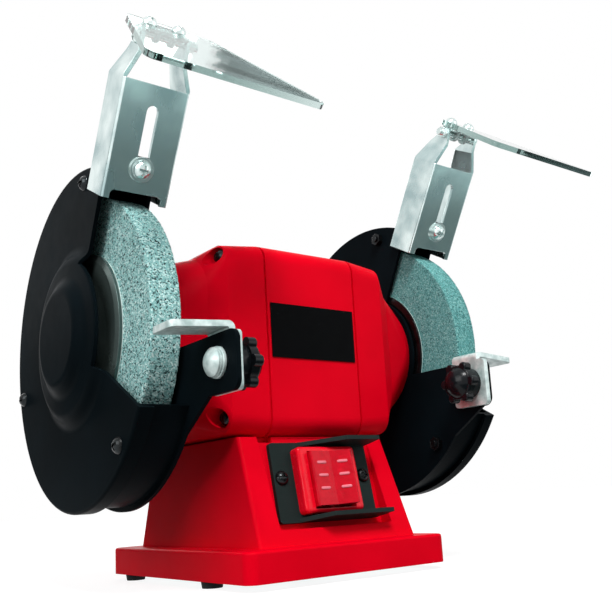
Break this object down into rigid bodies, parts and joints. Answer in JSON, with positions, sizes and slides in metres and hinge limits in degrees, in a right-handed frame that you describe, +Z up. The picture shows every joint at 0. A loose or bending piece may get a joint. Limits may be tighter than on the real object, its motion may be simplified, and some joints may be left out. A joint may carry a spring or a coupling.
{
  "type": "bench grinder",
  "caption": "Bench grinder: red motor housing on a sloped pedestal, black wheel guards, sliding spark brackets with tilting clear eye shields, tool rests and a rocker switch.",
  "frame": {"origin": "on the bench, in the middle of the four feet", "axes": "+Z up, -Y towards the operator, X along the shaft with +X at the operator's right"},
  "size_m": [0.3035, 0.2183, 0.2696],
  "materials": {
    "red_enamel": "gloss",
    "black_enamel": "satin",
    "zinc_plated_steel": "satin",
    "blackened_steel": "satin",
    "ground_steel": "polished",
    "lamination_steel": "matt",
    "copper": "satin",
    "coarse_abrasive": "matt",
    "fine_abrasive": "matt",
    "bush_plastic": "matt",
    "blotter_paper": "matt",
    "clear_acrylic": "gloss",
    "black_plastic": "satin",
    "red_plastic": "gloss",
    "capacitor_can": "satin",
    "black_foil": "gloss",
    "foot_rubber": "matt"
  },
  "bodies": {
    "frame": {"base_casting": "red_enamel", "motor_body": "red_enamel", "left_end_bell": "red_enamel", "right_end_bell": "red_enamel", "left_guard": "black_enamel", "right_guard": "black_enamel", "left_guard_cover": "black_enamel", "right_guard_cover": "black_enamel", "bracket_screws": "zinc_plated_steel", "bracket_washers": "zinc_plated_steel", "bracket_nuts": "zinc_plated_steel", "bottom_plate": "zinc_plated_steel", "bottom_plate_screws": "zinc_plated_steel", "guard_mount_screws": "zinc_plated_steel", "capacitor_strap": "zinc_plated_steel", "guard_cover_nuts": "zinc_plated_steel", "guard_cover_screws": "blackened_steel", "through_bolts": "blackened_steel", "switch_plate_screws": "blackened_steel", "bearing_outer_rings": "ground_steel", "stator_core": "lamination_steel", "stator_windings": "copper", "switch_plate": "black_plastic", "cable_gland": "black_plastic", "terminal_block": "black_plastic", "switch_body": "red_plastic", "run_capacitor": "capacitor_can", "label_plate": "black_foil", "rubber_feet": "foot_rubber"},
    "rotor": {"shaft": "ground_steel", "rotor_core": "lamination_steel", "bearing_inner_rings": "ground_steel", "left_wheel": "coarse_abrasive", "right_wheel": "fine_abrasive", "wheel_bushes": "bush_plastic", "inner_flanges": "zinc_plated_steel", "outer_flanges": "zinc_plated_steel", "wheel_blotters": "blotter_paper", "wheel_nuts": "zinc_plated_steel"},
    "ball_set": {"bearing_balls": "ground_steel", "bearing_cages": "ground_steel"},
    "rocker": {"rocker": "red_plastic"},
    "left_bracket": {"left_spark_bracket": "zinc_plated_steel", "left_hinge_bolt": "zinc_plated_steel"},
    "left_shield": {"left_eye_shield": "clear_acrylic", "left_shield_clip": "zinc_plated_steel", "left_shield_screws": "zinc_plated_steel"},
    "left_rest": {"left_tool_rest": "zinc_plated_steel", "left_rest_bolt": "zinc_plated_steel"},
    "left_knob": {"left_star_knob": "black_plastic"},
    "right_bracket": {"right_spark_bracket": "zinc_plated_steel", "right_hinge_bolt": "zinc_plated_steel"},
    "right_shield": {"right_eye_shield": "clear_acrylic", "right_shield_clip": "zinc_plated_steel", "right_shield_screws": "zinc_plated_steel"},
    "right_rest": {"right_tool_rest": "zinc_plated_steel", "right_rest_bolt": "zinc_plated_steel"},
    "right_knob": {"right_star_knob": "black_plastic"}
  },
  "joints": [
    {"name": "rotor_spin", "type": "hinge", "parent": "frame", "child": "rotor", "pos_m": [0, -0.012, 0.129], "axis": [1, 0, 0], "continuous": true},
    {"name": "ball_orbit", "type": "hinge", "parent": "frame", "child": "ball_set", "pos_m": [0, -0.012, 0.129], "axis": [1, 0, 0], "continuous": true},
    {"name": "rocker_tip", "type": "hinge", "parent": "frame", "child": "rocker", "pos_m": [0, -0.0704, 0.04998], "axis": [0, 0.1959, 0.9806], "range_deg": [0, 18]},
    {"name": "left_bracket_slide", "type": "slide", "parent": "frame", "child": "left_bracket", "axis": [0, -0.5, 0.866], "range_m": [-0.003, 0.003]},
    {"name": "left_shield_tilt", "type": "hinge", "parent": "left_bracket", "child": "left_shield", "pos_m": [-0.1024, -0.09372, 0.25895], "axis": [1, 0, 0], "range_deg": [-45, 25]},
    {"name": "left_rest_slide", "type": "slide", "parent": "frame", "child": "left_rest", "axis": [0, 1, 0], "range_m": [-0.004, 0.009]},
    {"name": "left_knob_turn", "type": "hinge", "parent": "left_rest", "child": "left_knob", "pos_m": [-0.0775, -0.1147, 0.101], "axis": [1, 0, 0], "range_deg": [0, 360]},
    {"name": "right_bracket_slide", "type": "slide", "parent": "frame", "child": "right_bracket", "axis": [0, -0.5, 0.866], "range_m": [-0.003, 0.003]},
    {"name": "right_shield_tilt", "type": "hinge", "parent": "right_bracket", "child": "right_shield", "pos_m": [0.1024, -0.09372, 0.25895], "axis": [1, 0, 0], "range_deg": [-37, 33]},
    {"name": "right_rest_slide", "type": "slide", "parent": "frame", "child": "right_rest", "axis": [0, 1, 0], "range_m": [-0.0045, 0.0005]},
    {"name": "right_knob_turn", "type": "hinge", "parent": "right_rest", "child": "right_knob", "pos_m": [0.0775, -0.0995, 0.101], "axis": [1, 0, 0], "range_deg": [0, 360]}
  ],
  "couplings": [
    {"joint": "ball_orbit", "follows": "rotor_spin", "ratio": 0.372}
  ]
}
